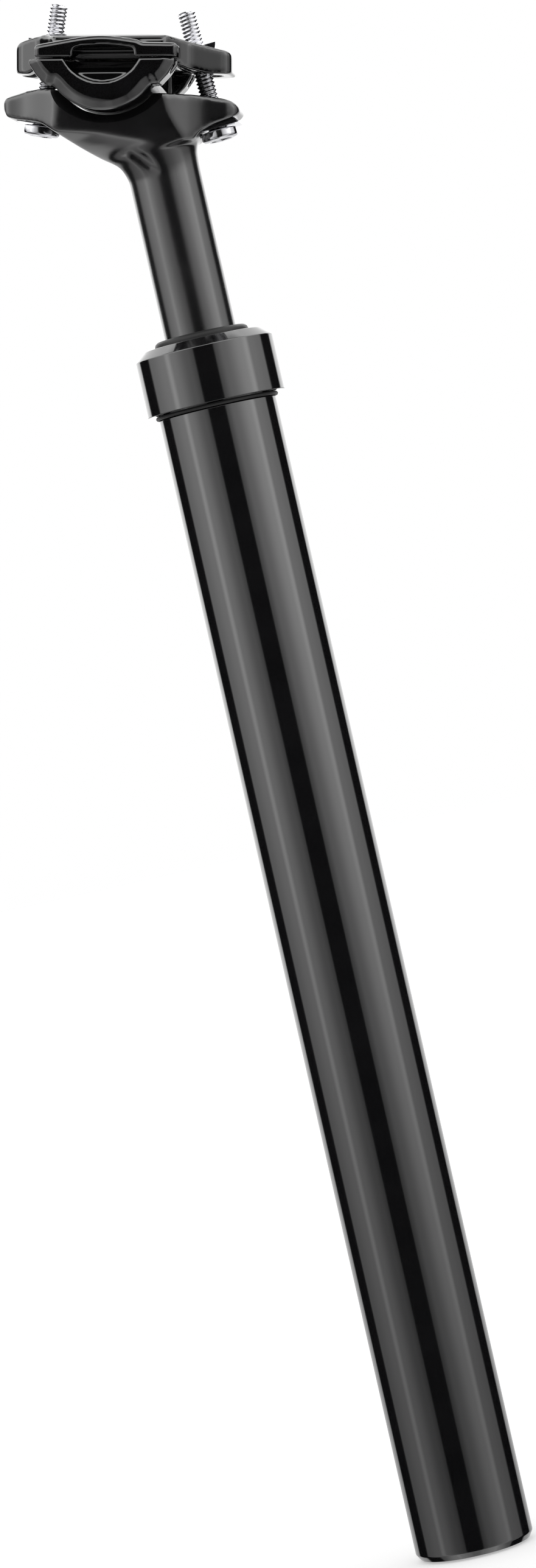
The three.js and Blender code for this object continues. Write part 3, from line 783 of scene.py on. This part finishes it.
def neck_blend():
    """The round shaft opening out into the head: rings drawn upwards and widened as they go.

    Each ring has its height from the clamp's centre, its middle, and its half-widths along X and Y.
    """
    rings = [
        (-60, 0, SHAFT_R, SHAFT_R),
        (-34, 0, SHAFT_R, SHAFT_R),
        (-31.4, -0.2, 9.8, 9.75),
        (-28.8, -0.8, 10.6, 10.5),
        (-26.8, -1.5, 12, 11.4),
        (-25.6, 5, 19.5, 12.2),
        (-24.4, 8, 24.6, 13.4),
        (-22, 5.5, 27.5, 15.2),
        (-19.6, 4, 31, 17),
        (-16.5, 2, 38, 20),
        (-11, 0, 46, 27),
        (6, 0, 60, 40),
    ]
    z = CLAMP_CENTRE.z / MM
    height, middle, wide, deep = rings[0]
    foot = (0, 0, (z + height) * MM)
    bpy.ops.object.select_all(action="DESELECT")
    bpy.ops.mesh.primitive_circle_add(vertices=96, radius=wide * MM, fill_type="NGON", location=foot)
    piece = bpy.context.object
    settle()
    bpy.ops.object.mode_set(mode="EDIT")
    bpy.ops.mesh.select_all(action="SELECT")
    for next_height, next_middle, next_wide, next_deep in rings[1:]:
        move = ((next_middle - middle) * MM, 0, (next_height - height) * MM)
        centre = (next_middle * MM, 0, (z + next_height) * MM)
        bpy.ops.mesh.extrude_region_move(TRANSFORM_OT_translate={"value": move})
        bpy.ops.transform.resize(value=(next_wide / wide, next_deep / deep, 1), center_override=centre)
        height, middle, wide, deep = next_height, next_middle, next_wide, next_deep
    tidy_mesh()
    leave_edit()
    return piece


def half_round(name, centre_z, radius, flat_z, half):
    """The part of a round bar along Y that lies above a flat."""
    edge = math.degrees(math.asin((flat_z - centre_z) / radius))
    return plate(name, arc((0, centre_z), radius, edge, 180 - edge, 40), -half, half)


# ------------------------------------------------------------------ clamp jaws

RAIL_R = 3.6
RAIL_Y = 22
RAIL_Z = -2
LOWER_JAW_Z = -2.2
UPPER_JAW_Z = -1.8
JAW_INNER = 17.5
CLAMP_HALF = 27.5
LIP_INNER = 23.5
RAIL_HALF = 24
CORE_HALF = 13.2
SLOT_PLACES = (-18.2, 23.4)
NUT_R = 6
NUT_HALF = 7


def rail_bores(half):
    return [bar("rail bore", RAIL_R, 2 * half, (0, side * RAIL_Y, RAIL_Z), ALONG_X, 96) for side in (-1, 1)]


def jaw_side(name, outline, bevel, depth, side):
    """One outer jaw: its outline extruded outwards, then the outer face inset into a bevel."""
    piece = plate(name, outline, *sorted((side * (JAW_INNER - 0.5), side * (CLAMP_HALF - depth))))
    edit(piece)
    bpy.ops.mesh.select_mode(type="FACE")
    bpy.ops.mesh.select_all(action="DESELECT")
    leave_edit()
    for face in piece.data.polygons:
        face.select = face.normal.y * side > 0.9
    edit(piece)
    bpy.ops.mesh.inset(thickness=bevel * MM, depth=depth * MM)
    bpy.ops.mesh.select_mode(type="VERT")
    leave_edit()
    return piece


def make_lower_cradle():
    wing = [(-19, 4), (-19, -3.4), (-17.2, -6.2), (-14.8, -8.7), (-12.9, -8.8)]
    round_side = arc((0, 0), BARREL_R, 180 + 38, 360 - 38, 48)
    outline = [*wing, *round_side, *((-x, z) for x, z in reversed(wing))]
    jaws = [jaw_side("cradle jaw", outline, 2.6, 1.7, side) for side in (-1, 1)]
    edge = math.degrees(math.acos(CORE_HALF / BARREL_R))
    belly = arc((0, 0), BARREL_R, 180 + edge, 360 - edge, 48)
    core_outline = [(-CORE_HALF, LOWER_JAW_Z), *belly, (CORE_HALF, LOWER_JAW_Z)]
    cradle = joined(plate("lower cradle", core_outline, -JAW_INNER, JAW_INNER), *jaws)
    cut(cradle, block("above the rails", (-30, -40, LOWER_JAW_Z), (30, 40, 20)))
    cut(cradle, *rail_bores(RAIL_HALF), block("pocket", (-8.5, -12, -10.5), (8.5, 12, 0)))
    scoops = [bar("scoop", 11, 6, (0, side * (LIP_INNER + 3), 2.7), ALONG_Y, 128) for side in (-1, 1)]
    cut(cradle, *scoops)
    soften(cradle, 0.32, 6)
    smooth_by_angle(cradle, 60)
    on_clamp(cradle)
    fitted(cradle, "lower_cradle", "clamp")


def rounded_slot(x, width, length):
    r = width / 2
    straight = length / 2 - r
    outline = [*arc((x + straight, 0), r, -90, 90, 24), *arc((x - straight, 0), r, 90, 270, 24)]
    return level_plate("bolt slot", outline, -10, 12)


def nut_pocket(end):
    x, z = local_nut(end)
    r = NUT_R + GAP
    half = NUT_HALF + GAP
    outline = [*arc((x, z), r, 180, 360, 40), (x + r, z + 8), (x - r, z + 8)]
    return plate("nut pocket", outline, -half, half)


def local_nut(end):
    """Centre of a barrel nut in the clamp's frame, in millimetres."""
    offset = Vector(JOINTS[end + "_nut_swing"]["pos_m"]) - CLAMP_CENTRE
    turned_back = Matrix.Rotation(-RAIL_SLOPE, 3, "Y") @ offset
    return turned_back.x / MM, turned_back.z / MM


def dome_body():
    """The crowned middle of the upper clamp with its two tapering ears."""
    top = [(31, 1.1), (24, 2.7), (16, 4.6), (8, 6), (-3, 6.5), (-12, 6), (-19, 5), (-23.6, 3.8)]
    spine = [
        (-25, -4.3),
        (-21.4, -4.6),
        (-19.3, -3.6),
        (-17.2, UPPER_JAW_Z),
        (15.5, UPPER_JAW_Z),
        (21, -3.7),
        (25.5, -4.8),
        (31.9, -4.8),
        (31.9, 0.4),
        *curve_through(top, 4),
        (-25, 2.6),
    ]
    plan_half = [
        *arc((28.6, 5.2), 3.3, 0, 70, 5),
        (21.5, 10.6),
        (18.5, 13.5),
        (15.5, 18),
        (-13.5, 18),
        (-16, 13.5),
        (-18.5, 10.6),
        *arc((-21.6, 5.6), 3.4, 105, 180, 5),
    ]
    plan = [*plan_half, *((x, -y) for x, y in reversed(plan_half))]
    slope = curve_through([(18, -8), (18, 3.4), (14, 4.8), (9.5, 5.8), (4, 6.4), (0, 6.6)], 3)
    crown = [*slope, *((-y, z) for y, z in reversed(slope[:-1]))]
    return kept(
        plate("upper clamp", spine, -18, 18),
        level_plate("upper plan", plan, -10, 10),
        cross_plate("upper crown", crown, -40, 40),
    )


def make_upper_clamp():
    clamp = dome_body()
    soften(clamp, 0.4, 8)
    outline = [
        (-17.4, -6),
        (19.6, -6),
        (19.6, 1.2),
        (19, 1.7),
        (10.6, 1.9),
        *curve_through([(9.2, 2.6), (2, 3.6), (-4, 3.5), (-9.4, 2.7)], 5),
        (-16.4, 1.5),
        (-17.4, 0.8),
    ]
    jaws = [jaw_side("upper jaw", outline, 0.7, 0.5, side) for side in (-1, 1)]
    joined(clamp, *jaws)
    under = block("below the jaw gap", (-17.2, -40, -20), (15.5, 40, UPPER_JAW_Z))
    sides = [
        block("below the jaw", (-30, middle - 10, -20), (30, middle + 10, UPPER_JAW_Z))
        for middle in (-23, 23)
    ]
    rise = [(-7.6, -3), (-7.3, 0.2), (-6.2, 0.9), (-2.9, 1.2)]
    fall = [(1.5, 1.3), (6.8, 0.7), (8.3, 0), (8.6, -3)]
    arch = curve_through([*rise, *fall], 5)
    arches = [plate("arch", arch, *sorted((side * LIP_INNER, side * (CLAMP_HALF + 1)))) for side in (-1, 1)]
    slots = [rounded_slot(x, 6.6, 11) for x in SLOT_PLACES]
    pockets = [nut_pocket(end) for end in BOLT_NAMES]
    cut(clamp, under, *sides, *rail_bores(RAIL_HALF), *arches, *slots, *pockets)
    soften(clamp, 0.32, 6)
    smooth_by_angle(clamp, 60)
    on_clamp(clamp)
    fitted(clamp, "upper_clamp", "clamp")


make_head()
make_lower_cradle()
make_upper_clamp()

# ------------------------------------------------------------------ bolts, washers and nuts

BOLT_LONG = 32.2
HEAD_R = 4.85
HEAD_HIGH = 2.65
THREAD_PITCH = 1.0
THREAD_ROOT_R = 2.02
THREAD_CREST_R = 2.45
BOLT_START = 0.4  # the rod starts just inside the head
TIP_SHARE = 0.86
WASHER_BORE_R = 2.9
NUT_BORE_R = 2.95


def wound(piece, rise, turns, steps):
    """Winds a profile round Z, rising this many millimetres a turn."""
    apply(
        piece,
        "SCREW",
        axis="Z",
        angle=2 * math.pi,
        screw_offset=rise * MM,
        iterations=turns,
        steps=steps,
        render_steps=steps,
        use_merge_vertices=False,
        use_smooth_shade=True,
    )


def threaded_rod():
    """One thread in profile, wound up the bolt, trimmed at both ends and drawn in at the tip."""
    root, crest = THREAD_ROOT_R, THREAD_CREST_R
    tooth = [(root, -1), (root, -0.92), (crest, -0.6), (crest, -0.42), (root, -0.1), (root, 0)]
    rod = wire("thread", tooth, lambda r, z: (r, 0, z), closed=False)
    leave_edit()
    wound(rod, THREAD_PITCH, 34, 32)
    edit(rod)
    bpy.ops.mesh.select_all(action="SELECT")
    bpy.ops.mesh.remove_doubles(threshold=1e-6)
    for height, outward in ((BOLT_START, -1), (BOLT_LONG - 0.15, 1)):
        spot = (0, 0, height * MM)
        bpy.ops.mesh.select_all(action="SELECT")
        bpy.ops.mesh.bisect(plane_co=spot, plane_no=(0, 0, outward), use_fill=True, clear_outer=True)
    tidy_mesh()
    leave_edit()
    for vertex in rod.data.vertices:
        vertex.select = vertex.co.z > (BOLT_LONG - 0.3) * MM
    for thing in (*rod.data.edges, *rod.data.polygons):
        thing.select = False
    bpy.ops.object.mode_set(mode="EDIT")
    tip = (0, 0, BOLT_LONG * MM)
    bpy.ops.transform.resize(value=(TIP_SHARE, TIP_SHARE, 1), center_override=tip)
    leave_edit()
    return rod


def make_bolt_body():
    """A threaded rod and a head with a hex socket, as two overlapping shells in one mesh."""
    rod = threaded_rod()
    head = turned(
        "bolt head",
        [
            (0, -HEAD_HIGH),
            (3.5, -HEAD_HIGH),
            (4.3, -HEAD_HIGH + 0.16),
            (4.72, -HEAD_HIGH + 0.5),
            (HEAD_R, -HEAD_HIGH + 0.9),
            (HEAD_R, -0.25),
            (HEAD_R - 0.25, 0),
            (2.5, 0),
            (2.35, 1.2),
            (0, 1.2),
        ],
        96,
        edge=0.08,
    )
    socket = bar("hex socket", 5 / math.sqrt(3), 4, (0, 0, -HEAD_HIGH - 2 + 1.9), sides=6)
    below, inside = -HEAD_HIGH - 1, -HEAD_HIGH + 0.65
    mouth = turned("socket mouth", [(0, below), (4.1, below), (2.45, inside), (0, inside)], 64)
    cut(head, socket, mouth)
    bpy.ops.object.select_all(action="DESELECT")
    rod.select_set(True)
    head.select_set(True)
    bpy.context.view_layer.objects.active = head
    bpy.ops.object.join()
    return head


def copy_of(piece):
    """A copy with its own mesh."""
    only(piece)
    bpy.ops.object.duplicate(linked=False)
    return bpy.context.object


def make_fasteners():
    bolt = make_bolt_body()
    smooth_by_angle(bolt, 34)
    washer = half_round("washer", WASHER_CENTRE, WASHER_R, GAP, WASHER_HALF)
    cut(washer, bar("washer bore", WASHER_BORE_R, 12, (0, 0, 2), sides=64))
    nut = half_round("barrel nut", 0, NUT_R, 1.2, NUT_HALF)
    placed(nut, math.pi, (0, 0, 0))
    cut(nut, bar("nut bore", NUT_BORE_R, 20, (0, 0, 0), sides=64))
    for piece in (washer, nut):
        round_edges(piece, 0.35, 35)
    for end in BOLT_NAMES:
        fitted(on_bolt(copy_of(bolt), end), end + "_bolt", end + "_bolt")
        fitted(on_bolt(copy_of(washer), end), end + "_bolt_washer", end + "_washer")
        _, lean = bolt_frame(end)
        centre = Vector(JOINTS[end + "_nut_swing"]["pos_m"])
        fitted(placed(copy_of(nut), lean, centre), end + "_barrel_nut", end + "_nut")
    for pattern in (bolt, washer, nut):
        bpy.data.objects.remove(pattern)


make_fasteners()

# ------------------------------------------------------------------ inside the tube

WIRE_R = 1.9
SPRING_R = 9.5
SPRING_COILS = 18
ELASTOMER_R = 6.2
GUIDE_R = 12.4  # the guides that slide in the bore
BUSH_R = 13.1
BUSH_BORE_R = 9.75
SPIGOT_TIP_R = 5.9  # the spigots that centre the spring
SPRING_SPIGOT_R = 6.7
GUIDE_HOLE_R = 3
END_WASHER_R = 12.5


def make_spring():
    """A round wire section wound up the spring with the screw modifier."""
    low, high = heights("main_spring")
    section = [(SPRING_R + x, z) for x, z in arc((0, 0), WIRE_R, 0, 345, 23)]
    spring = wire("spring wire", section, lambda r, z: (r, 0, z), closed=True)
    leave_edit()
    rise = (high - low - 2 * WIRE_R) / SPRING_COILS
    wound(spring, rise, SPRING_COILS, 64)
    edit(spring)
    tidy_mesh()
    bpy.ops.mesh.select_all(action="DESELECT")
    bpy.ops.mesh.select_non_manifold(extend=False)
    bpy.ops.mesh.fill_holes(sides=0)
    tidy_mesh()
    leave_edit()
    placed(spring, 0, (0, 0, (low + WIRE_R) * MM))
    fitted(spring, "main_spring", "tube")
    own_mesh(spring)


def make_elastomer():
    low, high = heights("elastomer_core")
    profile = [(0, low), (ELASTOMER_R, low), (ELASTOMER_R, high), (0, high)]
    core = turned("elastomer", profile, 64, edge=0.8)
    fitted(core, "elastomer_core", "tube")
    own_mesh(core)


def make_guides():
    """The nylon guides, seats and washer, which are all turned."""
    low, high = heights("upper_guide_bush")
    flange = high - 2.8
    bush = [
        (BUSH_BORE_R, low),
        (BUSH_R, low),
        (BUSH_R, flange),
        (15.2, flange),
        (15.2, high),
        (BUSH_BORE_R, high),
    ]
    fitted(turned("upper bush", bush, 96, edge=0.3), "upper_guide_bush", "tube")
    low, high = heights("top_out_bumper")
    bumper = [(BUSH_BORE_R, low), (GUIDE_R, low), (GUIDE_R, high), (BUSH_BORE_R, high)]
    fitted(turned("bumper", bumper, 96, edge=0.6), "top_out_bumper", "shaft")
    low, high = heights("upper_spring_guide")
    seat = high - 17.4
    recess = high - 8.2
    guide = [
        (GUIDE_HOLE_R, low),
        (SPIGOT_TIP_R, low),
        (SPRING_SPIGOT_R, low + 0.8),
        (SPRING_SPIGOT_R, seat),
        (GUIDE_R, seat),
        (GUIDE_R, high),
        (8.9, high),
        (8.9, recess),
        (GUIDE_HOLE_R, recess),
    ]
    fitted(turned("spring guide", guide, 96, edge=0.25), "upper_spring_guide", "shaft")
    low, high = heights("lower_spring_seat")
    face = low + 10
    lower_seat = [
        (GUIDE_HOLE_R, low),
        (GUIDE_R, low),
        (GUIDE_R, face),
        (SPRING_SPIGOT_R, face),
        (SPRING_SPIGOT_R, high - 0.8),
        (SPIGOT_TIP_R, high),
        (GUIDE_HOLE_R, high),
    ]
    fitted(turned("spring seat", lower_seat, 96, edge=0.25), "lower_spring_seat", "spring_seat")
    low, high = heights("shaft_end_washer")
    washer = [(SHAFT_BORE_R, low), (END_WASHER_R, low), (END_WASHER_R, high), (SHAFT_BORE_R, high)]
    fitted(turned("end washer", washer, 96, edge=0.25), "shaft_end_washer", "shaft")


def make_preload_plug():
    low, high = heights("preload_plug")
    profile = [(0, low), (BUSH_R - 0.8, low), (BUSH_R, low + 0.8), (BUSH_R, high), (0, high)]
    plug = turned("preload plug", profile, 96, edge=0.2)
    socket = bar("plug socket", 8 / math.sqrt(3), 20, (0, 0, low), sides=6)
    mouth = turned("plug mouth", [(0, low - 1), (6.2, low - 1), (4.1, low + 1.1), (0, low + 1.1)], 64)
    cut(plug, socket, mouth)
    smooth_by_angle(plug, 30)
    fitted(plug, "preload_plug", "preload_plug")
    wear_finish(plug, BLACK_PLUG)


make_spring()
make_elastomer()
make_guides()
make_preload_plug()

# ------------------------------------------------------------------ studio

VIEW_TURN = math.radians(5.6)
VIEW_RISE = math.radians(1.13)
VIEW_ROLL = math.radians(12.775)
AIM = (-8.9, 208.8)  # sideways from the axis and up the post, in millimetres
DISTANCE = 1482.8
LENS = 129.27


def make_camera():
    back = Vector(
        (
            math.sin(VIEW_TURN) * math.cos(VIEW_RISE),
            -math.cos(VIEW_TURN) * math.cos(VIEW_RISE),
            math.sin(VIEW_RISE),
        )
    )
    right = Vector((math.cos(VIEW_TURN), math.sin(VIEW_TURN), 0))
    up = back.cross(right)
    leaning_right = math.cos(VIEW_ROLL) * right - math.sin(VIEW_ROLL) * up
    leaning_up = math.sin(VIEW_ROLL) * right + math.cos(VIEW_ROLL) * up
    target = Vector((0, 0, AIM[1])) + right * AIM[0]
    bpy.ops.object.select_all(action="DESELECT")
    bpy.ops.object.camera_add()
    camera = bpy.context.object
    turn = Matrix((leaning_right, leaning_up, back)).transposed().to_4x4()
    camera.matrix_world = Matrix.Translation((target + back * DISTANCE) * MM) @ turn
    camera.data.sensor_width = 36
    camera.data.lens = LENS
    camera.data.clip_start = 0.05
    bpy.context.scene.camera = camera


def ramp(tree, value, stops):
    """A colour ramp of greys: stops are [place, brightness]."""
    made = node(tree, "ShaderNodeValToRGB")
    made.color_ramp.interpolation = "EASE"
    elements = made.color_ramp.elements
    while len(elements) > 1:
        elements.remove(elements[-1])
    elements[0].position = stops[0][0]
    elements[0].color = (*[stops[0][1]] * 3, 1)
    for place, level in stops[1:]:
        elements.new(place).color = (*[level] * 3, 1)
    tree.links.new(value, made.inputs["Fac"])
    return made.outputs["Color"]


STRIP_GAIN = 1.9  # how much brighter the surroundings are in reflections
ROOM_GLOW = 0.7  # what lights dull surfaces
DARK = 0.003
# Brightness by angle round the post from the camera's side, in degrees: soft boxes and black flags.
STUDIO_BANDS = [
    *((-180, 1.0), (-142, 1.0), (-136, DARK), (-110, DARK)),
    *((-105, 0.4), (-74, 0.6), (-66, 0.95), (-58, 0.6), (-30, 0.30), (-20, 0.2), (-17.5, DARK)),
    *((14, DARK), (16.5, 0.22), (30, 0.42), (62, 0.8), (72, 1.0), (80, 0.55), (106, 0.42)),
    *((111, DARK), (136, DARK), (142, 1.0), (180, 1.0)),
]
# By height, from straight down at 0 to straight up at 1: how far the bands give way to a plain
# bright cap, and how much the bands themselves fade.
CAP_SHARE = [(0, 0.3), (0.05, 0.3), (0.1, 0), (0.66, 0), (0.72, 1), (0.88, 1), (0.92, 0), (1, 0)]
LOWER_FADE = [(0, 0.45), (0.42, 0.45), (0.535, 1.0), (1, 1.0)]


def make_studio():
    """White surroundings with a tall soft box on each side and black flags beside them."""
    world = bpy.data.worlds.new("studio")
    bpy.context.scene.world = world
    world.use_nodes = True
    tree = world.node_tree
    background = tree.nodes["Background"]
    coords = node(tree, "ShaderNodeTexCoord")
    spun = node(tree, "ShaderNodeVectorRotate", rotation_type="Z_AXIS")
    spun.inputs["Angle"].default_value = -VIEW_TURN
    tree.links.new(coords.outputs["Generated"], spun.inputs["Vector"])
    split = node(tree, "ShaderNodeSeparateXYZ")
    tree.links.new(spun.outputs["Vector"], split.inputs["Vector"])
    behind = maths(tree, "MULTIPLY", split.outputs["Y"], -1.0)
    turn = maths(tree, "ARCTAN2", split.outputs["X"], behind)
    place = maths(tree, "MULTIPLY_ADD", turn, 1 / (2 * math.pi), 0.5)
    bands = ramp(tree, place, [(angle / 360 + 0.5, level) for angle, level in STUDIO_BANDS])
    height = maths(tree, "MULTIPLY_ADD", split.outputs["Z"], 0.5, 0.5)
    caps = ramp(tree, height, CAP_SHARE)
    fading = node(tree, "ShaderNodeVectorMath", operation="MULTIPLY")
    tree.links.new(bands, fading.inputs[0])
    tree.links.new(ramp(tree, height, LOWER_FADE), fading.inputs[1])
    strips = node(tree, "ShaderNodeMix", data_type="RGBA", blend_type="MIX")
    tree.links.new(caps, strips.inputs["Factor"])
    tree.links.new(fading.outputs["Vector"], strips.inputs["A"])
    strips.inputs["B"].default_value = (0.9, 0.9, 0.9, 1)
    bright = node(tree, "ShaderNodeVectorMath", operation="SCALE")
    bright.inputs["Scale"].default_value = STRIP_GAIN
    tree.links.new(strips.outputs["Result"], bright.inputs[0])
    path = node(tree, "ShaderNodeLightPath")
    soft = node(tree, "ShaderNodeMix", data_type="RGBA")
    tree.links.new(path.outputs["Is Glossy Ray"], soft.inputs["Factor"])
    soft.inputs["A"].default_value = (ROOM_GLOW, ROOM_GLOW, ROOM_GLOW, 1)
    tree.links.new(bright.outputs["Vector"], soft.inputs["B"])
    seen = node(tree, "ShaderNodeMix", data_type="RGBA")
    tree.links.new(path.outputs["Is Camera Ray"], seen.inputs["Factor"])
    tree.links.new(soft.outputs["Result"], seen.inputs["A"])
    seen.inputs["B"].default_value = (1, 1, 1, 1)
    tree.links.new(seen.outputs["Result"], background.inputs["Color"])
    background.inputs["Strength"].default_value = 1.0


def make_floor():
    """A plain pale floor just under the tube's end."""
    bpy.ops.object.select_all(action="DESELECT")
    bpy.ops.mesh.primitive_plane_add(size=12, location=(0, 0, -0.0005))
    floor = bpy.context.object
    floor.name = "floor"
    floor.visible_glossy = False
    material = bpy.data.materials.new("pale floor")
    material.use_nodes = True
    tree = material.node_tree
    shader = tree.nodes["Principled BSDF"]
    shader.inputs["Roughness"].default_value = 0.9
    shader.inputs["Emission Strength"].default_value = 0.42
    shader.inputs["Emission Color"].default_value = (1, 1, 1, 1)
    speckle = noise(tree, stretched(tree, (1, 1, 1)), 40.0)
    tone = node(tree, "ShaderNodeMix", data_type="RGBA")
    tone.inputs["A"].default_value = (0.86, 0.86, 0.86, 1)
    tone.inputs["B"].default_value = (0.9, 0.9, 0.9, 1)
    tree.links.new(speckle, tone.inputs["Factor"])
    tree.links.new(tone.outputs["Result"], shader.inputs["Base Color"])
    wear_finish(floor, material)


make_camera()
make_studio()
make_floor()
bpy.context.scene.view_settings.view_transform = "Standard"
